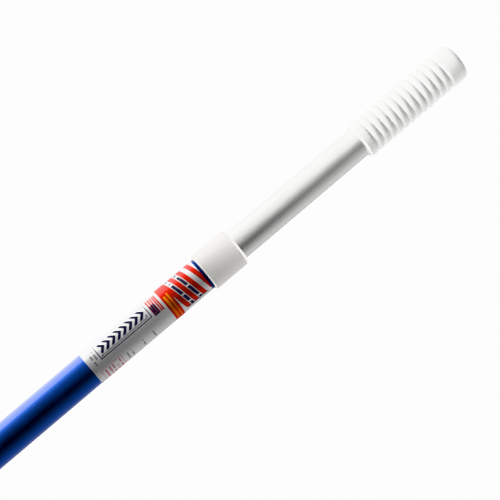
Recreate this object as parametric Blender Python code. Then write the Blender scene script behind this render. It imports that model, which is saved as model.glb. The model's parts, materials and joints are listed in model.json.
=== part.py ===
"""A two-section telescopic utility pole with a twist lock, as solids, one object for each sub-part.

The pole stands along +Z. Its origin is the centre of the tool end, which is the open lower end of the
outer tube, and the grip is at the top. The inner tube slides in the outer one. Its lower end carries a
plug whose oval cam turns in a split ring: a twist of the grip spreads the ring against the outer
tube's bore and locks the pole at any length. The solids show the pole unlocked, partly drawn out.
"""

import math

import bmesh
import bpy
from mathutils import Matrix

MM = 0.001
SIDES = 32  # flats round every turned piece, so that nested walls keep an even gap
FINE_SIDES = 12  # flats round pins and small holes
PIECE_GAP = 0.3 * MM  # between two pieces that meet face to face

# Tubes
INNER_TUBE_OD = 28.575 * MM
INNER_TUBE_WALL = 1.25 * MM
OUTER_TUBE_WALL = 1.4 * MM
OUTER_TUBE_LENGTH = 1219.2 * MM
TUBE_CLEARANCE = 0.1875 * MM  # radial, between the two tubes
EXPOSED_LENGTH = 142.6 * MM  # bare inner tube between the collar and the grip
TOOL_ROOM = 160.0 * MM  # clear bore above the tool end with the pole pushed right in

# Tool end: two pairs of holes for a tool's spring buttons
BUTTON_HOLE_RADIUS = 3.5 * MM
BUTTON_HOLE_HEIGHTS = (25.4 * MM, 76.2 * MM)
TOOL_END_LENGTH = 170.0 * MM  # lower stretch of the outer tube, a solid of its own round the tool's handle

# Collar
COLLAR_WALL = 2.75 * MM  # over the outer tube
COLLAR_LENGTH = 36.8 * MM
COLLAR_LIP = 7.5 * MM  # stands past the outer tube's mouth
COLLAR_LOWER_ROUND = 1.8 * MM
COLLAR_UPPER_ROUND = 1.6 * MM
COLLAR_CLEARANCE = 0.3 * MM  # radial, round the inner tube
COLLAR_SEAT = 0.15 * MM  # radial, round the outer tube

# Label
LABEL_LENGTH = 124.8 * MM
LABEL_THICKNESS = 0.15 * MM
LABEL_CLEARANCE = 0.1 * MM
LABEL_TO_COLLAR = 2.8 * MM
LABEL_SEAM = 1.0 * MM

# Grip
GRIP_LENGTH = 114.5 * MM
GRIP_WALL = 3.55 * MM
GRIP_END_WALL = 4.0 * MM
GRIP_CLEARANCE = 0.15 * MM
GRIP_END_ROUND = 5.0 * MM
GRIP_MOUTH_ROUND = 1.0 * MM
RIB_DEPTH = 1.2 * MM
RIB_PITCH = 7.15 * MM
RIB_CREST = 2.6 * MM  # width of a rib's crest
LOWER_BAND = 9.5 * MM  # grip's mouth to the first groove's middle
UPPER_BAND = 19.0 * MM  # last groove's middle to the grip's end, at least
VENT_RADIUS = 1.5 * MM

# Lock
PLUG_CLEARANCE = 0.12 * MM
SHANK_LENGTH = 36.0 * MM
FLANGE_THICKNESS = 3.0 * MM
FLANGE_STEP = 0.2 * MM  # flange's rim stands in from the inner tube's outside
CAM_HEIGHT = 18.0 * MM
CAM_OVALITY = 0.8 * MM  # long half axis less the short one
CAM_CLEARANCE = 0.15 * MM
RING_CLEARANCE = 0.15 * MM  # round the split ring, in the outer tube's bore
RING_WALL = 2.55 * MM  # thinnest wall, under the drag ring's groove
RING_SLOT = 3.0 * MM
DRAG_RING_CLEARANCE = 0.1 * MM
DRAG_RING_SECTION = 0.85 * MM  # radius of the cord it is made of
DRAG_GROOVE_CLEARANCE = 0.15 * MM
WASHER_THICKNESS = 1.2 * MM
WASHER_STEP = 0.8 * MM  # keeper washer's rim stands in from the flange's

# Fasteners of the lock
PIN_RADIUS = 1.5 * MM
PIN_CLEARANCE = 0.15 * MM
PIN_DEPTH = 5.0 * MM  # into the plug
PIN_RECESS = 0.15 * MM  # pin's end lies under the tube's outside
PIN_HEIGHT = 12.0 * MM  # above the inner tube's lower end
SCREW_RADIUS = 2.0 * MM
SCREW_CLEARANCE = 0.15 * MM
SCREW_LENGTH = 30.0 * MM  # under its head
HEAD_RADIUS = 4.0 * MM
HEAD_HEIGHT = 2.6 * MM
RECESS_WIDTH = 1.0 * MM
RECESS_SPAN = 4.4 * MM
RECESS_DEPTH = 1.3 * MM

# Radii that follow
INNER_R = INNER_TUBE_OD / 2
INNER_BORE_R = INNER_R - INNER_TUBE_WALL
OUTER_BORE_R = INNER_R + TUBE_CLEARANCE
OUTER_R = OUTER_BORE_R + OUTER_TUBE_WALL
COLLAR_R = OUTER_R + COLLAR_WALL
GRIP_BORE_R = INNER_R + GRIP_CLEARANCE
GRIP_R = GRIP_BORE_R + GRIP_WALL
SHANK_R = INNER_BORE_R - PLUG_CLEARANCE
FLANGE_R = INNER_R - FLANGE_STEP
RING_R = OUTER_BORE_R - RING_CLEARANCE
DRAG_MIDDLE_R = OUTER_BORE_R - DRAG_RING_CLEARANCE - DRAG_RING_SECTION
GROOVE_BOTTOM_R = DRAG_MIDDLE_R - DRAG_RING_SECTION - DRAG_GROOVE_CLEARANCE
RING_BORE_LONG = GROOVE_BOTTOM_R - RING_WALL
RING_BORE_SHORT = RING_BORE_LONG - CAM_OVALITY
CAM_LONG = RING_BORE_LONG - CAM_CLEARANCE
CAM_SHORT = CAM_LONG - CAM_OVALITY
PILOT_R = SCREW_RADIUS + SCREW_CLEARANCE

# Heights that follow, above the tool end
COLLAR_TOP = OUTER_TUBE_LENGTH + COLLAR_LIP
COLLAR_BOTTOM = COLLAR_TOP - COLLAR_LENGTH
LABEL_BOTTOM = COLLAR_BOTTOM - LABEL_TO_COLLAR - LABEL_LENGTH
GRIP_BOTTOM = COLLAR_TOP + EXPOSED_LENGTH
INNER_TUBE_TOP = GRIP_BOTTOM + GRIP_LENGTH - GRIP_END_WALL - PIECE_GAP
LOCK_LENGTH = FLANGE_THICKNESS + CAM_HEIGHT + WASHER_THICKNESS + HEAD_HEIGHT + 3 * PIECE_GAP
INNER_TUBE_BOTTOM = TOOL_ROOM + EXPOSED_LENGTH + LOCK_LENGTH
FLANGE_TOP = INNER_TUBE_BOTTOM - PIECE_GAP
CAM_BOTTOM = FLANGE_TOP - FLANGE_THICKNESS - CAM_HEIGHT
RING_HEIGHT = CAM_HEIGHT - PIECE_GAP
WASHER_BOTTOM = CAM_BOTTOM - PIECE_GAP - WASHER_THICKNESS
HEAD_TOP = WASHER_BOTTOM - PIECE_GAP


def clear_scene():
    """Leaves the scene empty."""
    for obj in list(bpy.data.objects):
        bpy.data.objects.remove(obj, do_unlink=True)


def new_material(name, colour, roughness, metallic=0.0):
    """A plain Principled BSDF."""
    material = bpy.data.materials.new(name)
    material.use_nodes = True
    shader = material.node_tree.nodes["Principled BSDF"]
    shader.inputs["Base Color"].default_value = (*colour, 1.0)
    shader.inputs["Roughness"].default_value = roughness
    shader.inputs["Metallic"].default_value = metallic
    return material


def new_body(name, height, parent=None):
    """An empty on the pole's axis that a rigid group of pieces hangs from."""
    empty = bpy.data.objects.new(name, None)
    bpy.context.scene.collection.objects.link(empty)
    empty.parent = parent
    empty.location.z = height - above_tool_end(parent)
    return empty


def above_tool_end(body):
    """How high a body's own zero is."""
    height = 0.0
    while body:
        height += body.location.z
        body = body.parent
    return height


def new_object(name, bm, body, height, material=None):
    """An object from a bmesh, its own zero at that height on the axis, moving with its body."""
    bmesh.ops.recalc_face_normals(bm, faces=bm.faces)
    mesh = bpy.data.meshes.new(name)
    bm.to_mesh(mesh)
    bm.free()
    if material:
        mesh.materials.append(material)
    obj = bpy.data.objects.new(name, mesh)
    bpy.context.scene.collection.objects.link(obj)
    obj.parent = body
    obj.location.z = height - above_tool_end(body)
    return obj


def smooth(obj, sharp_above=40):
    """Shades a round piece smooth, with its corners left sharp."""
    obj.data.shade_smooth()
    obj.data.set_sharp_from_angle(angle=math.radians(sharp_above))
    return obj


def spun(outline):
    """A bmesh turned about Z from a closed outline of (radius, height)."""
    bm = bmesh.new()
    verts = [bm.verts.new((radius, 0, height)) for radius, height in outline]
    edges = [bm.edges.new(pair) for pair in zip(verts, verts[1:] + verts[:1])]
    bmesh.ops.spin(
        bm, geom=verts + edges, cent=(0, 0, 0), axis=(0, 0, 1), angle=2 * math.pi, steps=SIDES, use_merge=True
    )
    return bm


def arc(centre, radius, start, end, steps=4):
    """Points (radius, height) on an arc, from one angle to the other, in degrees from outwards."""
    angles = [math.radians(start + (end - start) * i / steps) for i in range(steps + 1)]
    return [(centre[0] + radius * math.cos(a), centre[1] + radius * math.sin(a)) for a in angles]


def cylinder(radius, low, high, axis, sides=FINE_SIDES):
    """A closed cylinder along X or Z, from low to high on it."""
    turn = Matrix.Rotation(math.pi / 2, 4, "Y") if axis == "X" else Matrix()
    bm = bmesh.new()
    bmesh.ops.create_cone(
        bm,
        cap_ends=True,
        segments=sides,
        radius1=radius,
        radius2=radius,
        depth=high - low,
        matrix=turn @ Matrix.Translation((0, 0, (low + high) / 2)),
    )
    return bm


def box(size, centre):
    """A closed box."""
    bm = bmesh.new()
    bmesh.ops.create_cube(bm, size=1.0, matrix=Matrix.Translation(centre) @ Matrix.Diagonal((*size, 1)))
    return bm


def cut(obj, cutter, operation="DIFFERENCE"):
    """Cuts a piece with a hidden tool, or joins it to one."""
    cutter.hide_render = True
    cutter.display_type = "WIRE"
    modifier = obj.modifiers.new(cutter.name, "BOOLEAN")
    modifier.operation = operation
    modifier.object = cutter
    modifier.solver = "EXACT"


def tube_wall(bore, outside, length, joint=None):
    """The outline of a plain tube, with an extra ring at a height where a stretch of it ends."""
    rings = [0, length] if joint is None else [0, joint, length]
    return [(outside, height) for height in rings] + [(bore, height) for height in reversed(rings)]


def make_outer_tube(body, material):
    """The fixed tube, as two solids end to end: a short one that takes the tool, and the rest."""
    tool_end = spun(tube_wall(OUTER_BORE_R, OUTER_R, TOOL_END_LENGTH))
    tool_end = new_object("outer_tube_tool_end", tool_end, body, 0, material)
    for number, height in enumerate(BUTTON_HOLE_HEIGHTS, 1):
        hole = cylinder(BUTTON_HOLE_RADIUS, -COLLAR_R, COLLAR_R, "X")
        cut(tool_end, new_object(f"button_hole_{number}", hole, body, height))
    foot = TOOL_END_LENGTH + PIECE_GAP
    tube = spun(tube_wall(OUTER_BORE_R, OUTER_R, OUTER_TUBE_LENGTH - foot))
    for piece in (tool_end, new_object("outer_tube", tube, body, foot, material)):
        smooth(piece)


def make_label(body, material):
    """The printed film round the outer tube, with its seam at the back."""
    inner = OUTER_R + LABEL_CLEARANCE
    outer = inner + LABEL_THICKNESS
    outline = [(inner, 0), (outer, 0), (outer, LABEL_LENGTH), (inner, LABEL_LENGTH)]
    label = new_object("label", spun(outline), body, LABEL_BOTTOM, material)
    seam = box((LABEL_SEAM, 2 * OUTER_R, 2 * LABEL_LENGTH), (0, OUTER_R, LABEL_LENGTH / 2))
    cut(label, new_object("label_seam", seam, body, LABEL_BOTTOM))
    smooth(label)


def make_collar(body, material):
    """The sleeve over the outer tube's mouth, whose lip guides the inner tube."""
    tube_bore = OUTER_R + COLLAR_SEAT
    lip_bore = INNER_R + COLLAR_CLEARANCE
    shoulder = COLLAR_LENGTH - COLLAR_LIP + PIECE_GAP
    low, high = COLLAR_LOWER_ROUND, COLLAR_UPPER_ROUND
    outline = [
        (tube_bore, 0),
        *arc((COLLAR_R - low, low), low, -90, 0),
        *arc((COLLAR_R - high, COLLAR_LENGTH - high), high, 0, 90),
        (lip_bore, COLLAR_LENGTH),
        (lip_bore, shoulder),
        (tube_bore, shoulder),
    ]
    smooth(new_object("collar", spun(outline), body, COLLAR_BOTTOM, material))


def make_inner_tube(body, material):
    """The sliding tube, with a hole on each side for the plug's pins."""
    outline = tube_wall(INNER_BORE_R, INNER_R, INNER_TUBE_TOP - INNER_TUBE_BOTTOM, joint=2 * PIN_HEIGHT)
    tube = new_object("inner_tube", spun(outline), body, INNER_TUBE_BOTTOM, material)
    hole = cylinder(PIN_RADIUS + PIN_CLEARANCE, -COLLAR_R, COLLAR_R, "X")
    cut(tube, new_object("tube_pin_hole", hole, body, INNER_TUBE_BOTTOM + PIN_HEIGHT))
    smooth(tube)


def groove_outline():
    """The grooves up the grip's side, each a valley between two flat crests."""
    span = GRIP_LENGTH - LOWER_BAND - UPPER_BAND
    half_valley = (RIB_PITCH - RIB_CREST) / 2
    points = []
    for i in range(int(span / RIB_PITCH) + 1):
        middle = LOWER_BAND + i * RIB_PITCH
        points += [
            (GRIP_R, middle - half_valley),
            (GRIP_R - RIB_DEPTH, middle),
            (GRIP_R, middle + half_valley),
        ]
    return points


def make_grip(body, material):
    """The ribbed grip, a blind sleeve over the inner tube's end, with a vent in its end."""
    bore_end = GRIP_LENGTH - GRIP_END_WALL
    mouth, end = GRIP_MOUTH_ROUND, GRIP_END_ROUND
    outline = [
        (GRIP_BORE_R, 0),
        *arc((GRIP_R - mouth, mouth), mouth, -90, 0, steps=3),
        *groove_outline(),
        *arc((GRIP_R - end, GRIP_LENGTH - end), end, 0, 90, steps=5),
        (VENT_RADIUS, GRIP_LENGTH),
        (VENT_RADIUS, bore_end),
        (GRIP_BORE_R, bore_end),
    ]
    smooth(new_object("grip", spun(outline), body, GRIP_BOTTOM, material))


def make_cam_plug(body, material):
    """The plug in the inner tube's end: shank, flange and, below them, the oval cam, bored for the screw."""
    flange = CAM_HEIGHT + FLANGE_THICKNESS
    outline = [
        (PILOT_R, 0),
        (CAM_LONG, 0),
        (CAM_LONG, CAM_HEIGHT),
        (FLANGE_R, CAM_HEIGHT),
        (FLANGE_R, flange),
        (SHANK_R, flange),
        (SHANK_R, flange + SHANK_LENGTH),
        (PILOT_R, flange + SHANK_LENGTH),
    ]
    bm = spun(outline)
    cam = [v for v in bm.verts if abs(v.co.xy.length - CAM_LONG) < PLUG_CLEARANCE]
    bmesh.ops.scale(bm, vec=(1, CAM_SHORT / CAM_LONG, 1), verts=cam)
    plug = new_object("cam_plug", bm, body, CAM_BOTTOM, material)
    for number, side in enumerate((1, -1), 1):
        hole = cylinder(PIN_RADIUS + PIN_CLEARANCE, *pin_span(side, PIECE_GAP), "X")
        cut(plug, new_object(f"plug_pin_hole_{number}", hole, body, INNER_TUBE_BOTTOM + PIN_HEIGHT))
    smooth(plug)


def pin_span(side, extra=0.0):
    """Where a pin, or its hole with some extra, starts and ends along X, on one side of the axis."""
    near = SHANK_R - PIN_DEPTH - extra
    far = INNER_R - PIN_RECESS + extra
    return sorted((side * near, side * far))


def make_plug_pins(body, material):
    """Two pins through the inner tube's wall into the plug."""
    for number, side in enumerate((1, -1), 1):
        pin = cylinder(PIN_RADIUS, *pin_span(side), "X")
        smooth(new_object(f"plug_pin_{number}", pin, body, INNER_TUBE_BOTTOM + PIN_HEIGHT, material))


def make_expander_ring(body, material):
    """The split ring round the cam: round outside, oval inside, with a groove for the drag ring."""
    half_groove = DRAG_RING_SECTION + DRAG_GROOVE_CLEARANCE
    middle = RING_HEIGHT / 2
    outline = [
        (RING_BORE_LONG, 0),
        (RING_R, 0),
        (RING_R, middle - half_groove),
        (GROOVE_BOTTOM_R, middle - half_groove),
        (GROOVE_BOTTOM_R, middle + half_groove),
        (RING_R, middle + half_groove),
        (RING_R, RING_HEIGHT),
        (RING_BORE_LONG, RING_HEIGHT),
    ]
    bm = spun(outline)
    bore = [v for v in bm.verts if v.co.xy.length < RING_BORE_LONG + RING_WALL / 2]
    bmesh.ops.scale(bm, vec=(1, RING_BORE_SHORT / RING_BORE_LONG, 1), verts=bore)
    ring = new_object("expander_ring", bm, body, CAM_BOTTOM, material)
    slot = box((RING_SLOT, 2 * RING_R, 2 * RING_HEIGHT), (0, RING_R, RING_HEIGHT / 2))
    cut(ring, new_object("ring_slot", slot, body, CAM_BOTTOM))
    smooth(ring)


def make_drag_ring(body, material):
    """The rubber ring that keeps the split ring from turning in the tube."""
    outline = arc((DRAG_MIDDLE_R, 0), DRAG_RING_SECTION, 0, 315, steps=7)
    smooth(new_object("drag_ring", spun(outline), body, CAM_BOTTOM + RING_HEIGHT / 2, material), 60)


def make_keeper_washer(body, material):
    """The washer under the cam that keeps the ring and the plug together."""
    radius = FLANGE_R - WASHER_STEP
    outline = [(PILOT_R, 0), (radius, 0), (radius, WASHER_THICKNESS), (PILOT_R, WASHER_THICKNESS)]
    smooth(new_object("keeper_washer", spun(outline), body, WASHER_BOTTOM, material))


def make_keeper_screw(body, material):
    """The screw through the washer into the plug, its cross-recessed head at the bottom."""
    screw = new_object("keeper_screw", cylinder(HEAD_RADIUS, -HEAD_HEIGHT, 0, "Z", 24), body, HEAD_TOP, material)
    shank = cylinder(SCREW_RADIUS, -HEAD_HEIGHT / 2, SCREW_LENGTH, "Z", 24)
    cut(screw, new_object("screw_shank", shank, body, HEAD_TOP), "UNION")
    for number, span in enumerate(((RECESS_SPAN, RECESS_WIDTH), (RECESS_WIDTH, RECESS_SPAN)), 1):
        slot = box((*span, 2 * RECESS_DEPTH), (0, 0, -HEAD_HEIGHT))
        cut(screw, new_object(f"screw_recess_{number}", slot, body, HEAD_TOP))
    smooth(screw)


def main():
    """Builds the pole: the outer section, the lock ring that slides in it, and the inner section."""
    clear_scene()
    outer_section = new_body("outer_section", 0)
    lock_ring = new_body("lock_ring", CAM_BOTTOM, outer_section)
    inner_section = new_body("inner_section", CAM_BOTTOM, lock_ring)
    steel = new_material("plated_steel", (0.62, 0.63, 0.66), 0.3, 1.0)
    make_outer_tube(outer_section, new_material("blue_anodised", (0.02, 0.09, 0.42), 0.35, 1.0))
    make_label(outer_section, new_material("printed_film", (0.72, 0.7, 0.72), 0.35))
    make_collar(outer_section, new_material("white_plastic", (0.8, 0.8, 0.78), 0.4))
    make_inner_tube(inner_section, new_material("satin_aluminium", (0.8, 0.81, 0.83), 0.35, 1.0))
    make_grip(inner_section, new_material("white_vinyl", (0.85, 0.85, 0.84), 0.5))
    make_cam_plug(inner_section, new_material("grey_nylon", (0.35, 0.36, 0.38), 0.5))
    make_plug_pins(inner_section, steel)
    make_expander_ring(lock_ring, new_material("natural_nylon", (0.75, 0.73, 0.66), 0.5))
    make_drag_ring(lock_ring, new_material("black_rubber", (0.03, 0.03, 0.03), 0.8))
    make_keeper_washer(inner_section, steel)
    make_keeper_screw(inner_section, steel)


main()
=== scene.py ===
"""Looks of a two-section telescopic pole, each of its pieces remade smooth in its own finish.

The pole stands along +Z on its open tool end. A blue outer tube carries a printed label and, at its mouth,
a white collar. A silver inner tube slides out of it and carries a ribbed white grip. A twist lock works
inside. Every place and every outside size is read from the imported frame.
"""

import json
import logging
import math
from collections.abc import Callable, Iterable, Sequence
from dataclasses import dataclass
from enum import Enum
from functools import partial, reduce

import bpy
from mathutils import Matrix, Vector

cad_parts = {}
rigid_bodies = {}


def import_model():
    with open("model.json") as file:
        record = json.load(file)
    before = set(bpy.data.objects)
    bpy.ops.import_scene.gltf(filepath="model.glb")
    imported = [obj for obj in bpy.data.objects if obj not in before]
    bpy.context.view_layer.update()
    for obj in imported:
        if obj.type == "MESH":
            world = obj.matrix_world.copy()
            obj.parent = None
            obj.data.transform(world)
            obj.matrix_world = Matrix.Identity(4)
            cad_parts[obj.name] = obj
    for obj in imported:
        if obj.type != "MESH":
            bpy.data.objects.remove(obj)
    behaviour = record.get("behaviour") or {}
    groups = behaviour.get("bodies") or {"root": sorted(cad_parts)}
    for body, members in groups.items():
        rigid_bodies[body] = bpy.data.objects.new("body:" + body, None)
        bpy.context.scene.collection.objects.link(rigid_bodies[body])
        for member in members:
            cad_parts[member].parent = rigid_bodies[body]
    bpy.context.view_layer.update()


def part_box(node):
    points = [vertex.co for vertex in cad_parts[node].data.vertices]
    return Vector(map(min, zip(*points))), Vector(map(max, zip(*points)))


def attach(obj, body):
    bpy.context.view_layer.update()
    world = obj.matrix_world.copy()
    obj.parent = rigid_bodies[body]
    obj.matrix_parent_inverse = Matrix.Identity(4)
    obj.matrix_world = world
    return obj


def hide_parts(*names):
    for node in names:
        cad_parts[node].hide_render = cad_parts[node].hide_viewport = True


for startup_object in list(bpy.data.objects):
    bpy.data.objects.remove(startup_object, do_unlink=True)
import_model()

LOG = logging.getLogger("telescopic_pole")
MM = 0.001
WELD = 0.001 * MM

Point = tuple[float, float]
Triple = tuple[float, float, float]
Colour = Triple
Node = bpy.types.Node
Socket = bpy.types.NodeSocket
Piece = bpy.types.Object
Signal = Socket | float | Colour


class Body(Enum):
    """The rigid groups of pieces that move as one."""

    OUTER = "outer_section"
    RING = "lock_ring"
    INNER = "inner_section"


# ---------------------------------------------------------------------------------------------------------
# Shader nodes
# ---------------------------------------------------------------------------------------------------------


class Tree:
    """A node tree in the making: a material's, a group's or the world's."""

    def __init__(self, tree: bpy.types.NodeTree) -> None:
        """Takes the tree to add to.

        Args:
            tree: The node tree.
        """
        self.tree = tree

    def add(self, kind: str, **settings: object) -> Node:
        """Adds a node.

        Args:
            kind: Blender's name for the node's type.
            **settings: The node's own settings.

        Returns:
            The node.
        """
        node = self.tree.nodes.new(kind)
        for name, value in settings.items():
            setattr(node, name, value)
        return node

    def feed(self, socket: Socket, signal: Signal) -> None:
        """Links a signal to a socket, or sets the socket where the signal is a constant.

        Args:
            socket: The input to fill.
            signal: A socket, a number or a colour.
        """
        if isinstance(signal, Socket):
            self.tree.links.new(signal, socket)
        elif isinstance(signal, tuple):
            socket.default_value = (*signal, 1.0) if len(socket.default_value) == 4 else signal
        else:
            socket.default_value = signal

    def math(self, operation: str, *signals: Signal, clamp: bool = False) -> Socket:
        """One sum on numbers.

        Args:
            operation: Blender's name for the sum.
            *signals: One to three numbers.
            clamp: Whether the result stays between 0 and 1.

        Returns:
            The result.
        """
        node = self.add("ShaderNodeMath", operation=operation, use_clamp=clamp)
        for socket, signal in zip(node.inputs, signals):
            self.feed(socket, signal)
        return node.outputs[0]

    def times(self, *signals: Signal, clamp: bool = False) -> Socket:
        """The product of two or more numbers."""
        return reduce(lambda first, second: self.math("MULTIPLY", first, second, clamp=clamp), signals)

    def most(self, *signals: Signal) -> Socket:
        """The largest of several numbers."""
        return reduce(lambda first, second: self.math("MAXIMUM", first, second), signals)

    def less(self, first: Signal, second: Signal) -> Socket:
        """The first number less the second."""
        return self.math("SUBTRACT", first, second)

    def line(self, signal: Signal, slope: Signal, start: Signal, clamp: bool = False) -> Socket:
        """A number times a slope, plus a start."""
        return self.math("MULTIPLY_ADD", signal, slope, start, clamp=clamp)

    def ramp(
        self, signal: Signal, low: Signal, high: Signal, start: float = 0.0, end: float = 1.0
    ) -> Socket:
        """A soft step from one value to another as the signal goes from low to high.

        Args:
            signal: The number that drives it.
            low: Where the step begins.
            high: Where it ends.
            start: The value up to low.
            end: The value from high on.

        Returns:
            The stepped value.
        """
        node = self.add("ShaderNodeMapRange", interpolation_type="SMOOTHSTEP")
        inputs = {"Value": signal, "From Min": low, "From Max": high, "To Min": start, "To Max": end}
        for name, value in inputs.items():
            self.feed(node.inputs[name], value)
        return node.outputs["Result"]

    def mix(self, share: Signal, first: Signal, second: Signal, blend: str = "MIX") -> Socket:
        """Mixes two colours.

        Args:
            share: How much of the second one shows.
            first: The colour at share 0.
            second: The colour at share 1.
            blend: How the second one is laid over the first.

        Returns:
            The mixed colour.
        """
        node = self.add("ShaderNodeMix", data_type="RGBA", blend_type=blend)
        self.feed(node.inputs[0], share)
        self.feed(node.inputs[6], first)
        self.feed(node.inputs[7], second)
        return node.outputs[2]

    def place(self) -> Socket:
        """The piece's own coordinates, in metres."""
        return self.add("ShaderNodeTexCoord").outputs["Object"]

    def axes(self, vector: Socket) -> tuple[Socket, ...]:
        """A vector's X, Y and Z."""
        node = self.add("ShaderNodeSeparateXYZ")
        self.feed(node.inputs[0], vector)
        return tuple(node.outputs)

    def vector(self, x: Signal, y: Signal, z: Signal) -> Socket:
        """A vector made of three numbers."""
        node = self.add("ShaderNodeCombineXYZ")
        for socket, signal in zip(node.inputs, (x, y, z)):
            self.feed(socket, signal)
        return node.outputs[0]

    def scaled(self, vector: Socket, scale: Triple, turn: float = 0.0) -> Socket:
        """A vector scaled along each axis, after a turn about Z.

        Args:
            vector: The vector.
            scale: The three scales.
            turn: The turn about Z, in radians.

        Returns:
            The new vector.
        """
        node = self.add("ShaderNodeMapping")
        self.feed(node.inputs["Vector"], vector)
        node.inputs["Scale"].default_value = scale
        node.inputs["Rotation"].default_value = (0.0, 0.0, turn)
        return node.outputs[0]

    def noise(self, vector: Socket, scale: Signal, detail: float = 2.0) -> Socket:
        """Smooth noise from 0 to 1.

        Args:
            vector: Where it is read.
            scale: How fine it is.
            detail: How many finer layers it has.

        Returns:
            The noise.
        """
        node = self.add("ShaderNodeTexNoise")
        self.feed(node.inputs["Vector"], vector)
        self.feed(node.inputs["Scale"], scale)
        node.inputs["Detail"].default_value = detail
        return node.outputs[0]


class Effect(Tree):
    """A shader node group with named inputs and outputs, built once and placed in each material."""

    def __init__(self, name: str, inputs: dict[str, float], outputs: Sequence[str]) -> None:
        """Makes an empty group.

        Args:
            name: The group's name.
            inputs: Each input's name and usual value.
            outputs: The outputs' names.
        """
        group = bpy.data.node_groups.new(name, "ShaderNodeTree")
        super().__init__(group)
        for label, value in inputs.items():
            socket = group.interface.new_socket(label, in_out="INPUT", socket_type="NodeSocketFloat")
            socket.default_value = value
        for label in outputs:
            group.interface.new_socket(label, in_out="OUTPUT", socket_type="NodeSocketFloat")
        self.inputs = self.add("NodeGroupInput").outputs
        self.outputs = self.add("NodeGroupOutput").inputs

    def give(self, **signals: Signal) -> None:
        """Feeds the group's outputs, by name."""
        for label, signal in signals.items():
            self.feed(self.outputs[label], signal)

    def use(self, tree: Tree, **values: Signal) -> dict[str, Socket]:
        """Places the group in a tree.

        Args:
            tree: The tree to add it to.
            **values: Inputs by name, in lower case with _ for a space.

        Returns:
            The outputs by name.
        """
        node = tree.add("ShaderNodeGroup", node_tree=self.tree)
        for socket in node.inputs:
            label = socket.name.lower().replace(" ", "_")
            if label in values:
                tree.feed(socket, values[label])
        return {socket.name: socket for socket in node.outputs}


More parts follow.
